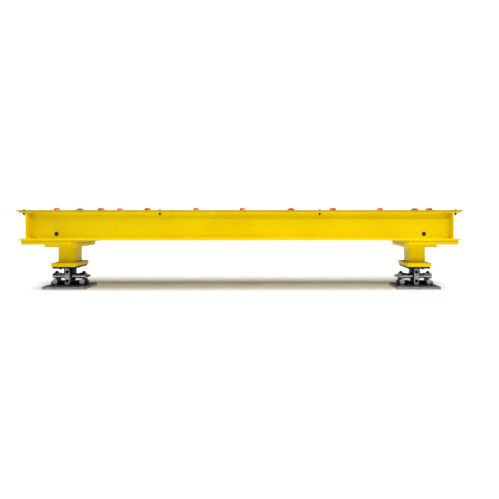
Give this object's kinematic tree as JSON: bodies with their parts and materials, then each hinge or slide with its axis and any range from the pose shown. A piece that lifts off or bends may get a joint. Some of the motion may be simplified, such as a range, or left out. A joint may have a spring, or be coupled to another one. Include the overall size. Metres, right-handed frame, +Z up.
{
  "type": "castor deck weigh platform",
  "caption": "Narrow welded I-beam platform with upturned swivel castors through its steel deck, standing on two pillars over double-ended load-cell modules.",
  "frame": {"origin": "on the floor below the middle of the deck", "axes": "+X along the platform to its right-hand end, -Y towards the front, +Z up"},
  "size_m": [3.344, 0.492, 0.644],
  "materials": {
    "yellow_paint": "gloss signal-yellow two-part paint over welded steel",
    "orange_tread": "satin orange-red polyurethane",
    "zinc_steel": "bright zinc plate",
    "bright_steel": "ground and polished alloy steel",
    "nickel_gland": "nickel plate",
    "grey_plate": "flame-cut and ground mild steel plate",
    "black_steel": "black oxide steel"
  },
  "bodies": {
    "platform": {"front_beam": "yellow_paint", "rear_beam": "yellow_paint", "left_end_beam": "yellow_paint", "right_end_beam": "yellow_paint", "deck_plate": "yellow_paint", "front_castor_rail": "yellow_paint", "rear_castor_rail": "yellow_paint", "mid_bearer": "yellow_paint", "left_corner_plate": "yellow_paint", "left_pillar_top_plate": "yellow_paint", "left_pillar": "yellow_paint", "left_pillar_foot_plate": "yellow_paint", "left_module_top_plate": "black_steel", "left_load_cell": "bright_steel", "left_cable_gland": "nickel_gland", "left_base_plate": "grey_plate", "left_inner_cross_pin": "zinc_steel", "left_outer_cross_pin": "zinc_steel", "left_front_link_plate": "zinc_steel", "left_rear_link_plate": "zinc_steel", "left_upper_link_bolt": "black_steel", "left_lower_link_bolt": "black_steel", "right_corner_plate": "yellow_paint", "right_pillar_top_plate": "yellow_paint", "right_pillar": "yellow_paint", "right_pillar_foot_plate": "yellow_paint", "right_module_top_plate": "black_steel", "right_load_cell": "bright_steel", "right_cable_gland": "nickel_gland", "right_base_plate": "grey_plate", "right_inner_cross_pin": "zinc_steel", "right_outer_cross_pin": "zinc_steel", "right_front_link_plate": "zinc_steel", "right_rear_link_plate": "zinc_steel", "right_upper_link_bolt": "black_steel", "right_lower_link_bolt": "black_steel"},
    "fork_front_1": {"fork_front_1": "zinc_steel"},
    "wheel_front_1": {"wheel_front_1": "orange_tread"},
    "fork_front_2": {"fork_front_2": "zinc_steel"},
    "wheel_front_2": {"wheel_front_2": "orange_tread"},
    "fork_front_3": {"fork_front_3": "zinc_steel"},
    "wheel_front_3": {"wheel_front_3": "orange_tread"},
    "fork_front_4": {"fork_front_4": "zinc_steel"},
    "wheel_front_4": {"wheel_front_4": "orange_tread"},
    "fork_front_5": {"fork_front_5": "zinc_steel"},
    "wheel_front_5": {"wheel_front_5": "orange_tread"},
    "fork_front_6": {"fork_front_6": "zinc_steel"},
    "wheel_front_6": {"wheel_front_6": "orange_tread"},
    "fork_front_7": {"fork_front_7": "zinc_steel"},
    "wheel_front_7": {"wheel_front_7": "orange_tread"},
    "fork_front_8": {"fork_front_8": "zinc_steel"},
    "wheel_front_8": {"wheel_front_8": "orange_tread"},
    "fork_front_9": {"fork_front_9": "zinc_steel"},
    "wheel_front_9": {"wheel_front_9": "orange_tread"},
    "fork_rear_1": {"fork_rear_1": "zinc_steel"},
    "wheel_rear_1": {"wheel_rear_1": "orange_tread"},
    "fork_rear_2": {"fork_rear_2": "zinc_steel"},
    "wheel_rear_2": {"wheel_rear_2": "orange_tread"},
    "fork_rear_3": {"fork_rear_3": "zinc_steel"},
    "wheel_rear_3": {"wheel_rear_3": "orange_tread"}
  },
  "joints": [
    {"name": "swivel_front_1", "type": "hinge", "parent": "platform", "child": "fork_front_1", "pos_m": [-1.4817, -0.0627, 0.6065], "axis": [0, 0, 1], "continuous": true},
    {"name": "roll_front_1", "type": "hinge", "parent": "fork_front_1", "child": "wheel_front_1", "pos_m": [-1.46564, -0.08053, 0.6065], "axis": [0.7431, 0.6691, 0], "continuous": true},
    {"name": "swivel_front_2", "type": "hinge", "parent": "platform", "child": "fork_front_2", "pos_m": [-1.11127, -0.0627, 0.6065], "axis": [0, 0, 1], "continuous": true},
    {"name": "roll_front_2", "type": "hinge", "parent": "fork_front_2", "child": "wheel_front_2", "pos_m": [-1.13018, -0.04792, 0.6065], "axis": [-0.6157, -0.788, 0], "continuous": true},
    {"name": "swivel_front_3", "type": "hinge", "parent": "platform", "child": "fork_front_3", "pos_m": [-0.74085, -0.0627, 0.6065], "axis": [0, 0, 1], "continuous": true},
    {"name": "roll_front_3", "type": "hinge", "parent": "fork_front_3", "child": "wheel_front_3", "pos_m": [-0.75782, -0.04573, 0.6065], "axis": [-0.7071, -0.7071, 0], "continuous": true},
    {"name": "swivel_front_4", "type": "hinge", "parent": "platform", "child": "fork_front_4", "pos_m": [-0.37042, -0.0627, 0.6065], "axis": [0, 0, 1], "continuous": true},
    {"name": "roll_front_4", "type": "hinge", "parent": "fork_front_4", "child": "wheel_front_4", "pos_m": [-0.35953, -0.08408, 0.6065], "axis": [0.891, 0.454, 0], "continuous": true},
    {"name": "swivel_front_5", "type": "hinge", "parent": "platform", "child": "fork_front_5", "pos_m": [0, -0.0627, 0.6065], "axis": [0, 0, 1], "continuous": true},
    {"name": "roll_front_5", "type": "hinge", "parent": "fork_front_5", "child": "wheel_front_5", "pos_m": [0.00742, -0.08552, 0.6065], "axis": [0.9511, 0.309, 0], "continuous": true},
    {"name": "swivel_front_6", "type": "hinge", "parent": "platform", "child": "fork_front_6", "pos_m": [0.37042, -0.0627, 0.6065], "axis": [0, 0, 1], "continuous": true},
    {"name": "roll_front_6", "type": "hinge", "parent": "fork_front_6", "child": "wheel_front_6", "pos_m": [0.39439, -0.06395, 0.6065], "axis": [0.0523, 0.9986, 0], "continuous": true},
    {"name": "swivel_front_7", "type": "hinge", "parent": "platform", "child": "fork_front_7", "pos_m": [0.74085, -0.0627, 0.6065], "axis": [0, 0, 1], "continuous": true},
    {"name": "roll_front_7", "type": "hinge", "parent": "fork_front_7", "child": "wheel_front_7", "pos_m": [0.72418, -0.07996, 0.6065], "axis": [0.7193, -0.6947, 0], "continuous": true},
    {"name": "swivel_front_8", "type": "hinge", "parent": "platform", "child": "fork_front_8", "pos_m": [1.11127, -0.0627, 0.6065], "axis": [0, 0, 1], "continuous": true},
    {"name": "roll_front_8", "type": "hinge", "parent": "fork_front_8", "child": "wheel_front_8", "pos_m": [1.09785, -0.08259, 0.6065], "axis": [0.829, -0.5592, 0], "continuous": true},
    {"name": "swivel_front_9", "type": "hinge", "parent": "platform", "child": "fork_front_9", "pos_m": [1.4817, -0.0627, 0.6065], "axis": [0, 0, 1], "continuous": true},
    {"name": "roll_front_9", "type": "hinge", "parent": "fork_front_9", "child": "wheel_front_9", "pos_m": [1.50269, -0.05106, 0.6065], "axis": [-0.4848, 0.8746, 0], "continuous": true},
    {"name": "swivel_rear_1", "type": "hinge", "parent": "platform", "child": "fork_rear_1", "pos_m": [-1.38415, 0.0627, 0.6065], "axis": [0, 0, 1], "continuous": true},
    {"name": "roll_rear_1", "type": "hinge", "parent": "fork_rear_1", "child": "wheel_rear_1", "pos_m": [-1.37005, 0.08211, 0.6065], "axis": [-0.809, 0.5878, 0], "continuous": true},
    {"name": "swivel_rear_2", "type": "hinge", "parent": "platform", "child": "fork_rear_2", "pos_m": [-1.01973, 0.0627, 0.6065], "axis": [0, 0, 1], "continuous": true},
    {"name": "roll_rear_2", "type": "hinge", "parent": "fork_rear_2", "child": "wheel_rear_2", "pos_m": [-1.03483, 0.08135, 0.6065], "axis": [-0.7771, -0.6293, 0], "continuous": true},
    {"name": "swivel_rear_3", "type": "hinge", "parent": "platform", "child": "fork_rear_3", "pos_m": [1.40915, 0.0627, 0.6065], "axis": [0, 0, 1], "continuous": true},
    {"name": "roll_rear_3", "type": "hinge", "parent": "fork_rear_3", "child": "wheel_rear_3", "pos_m": [1.42699, 0.04664, 0.6065], "axis": [0.6691, 0.7431, 0], "continuous": true}
  ]
}
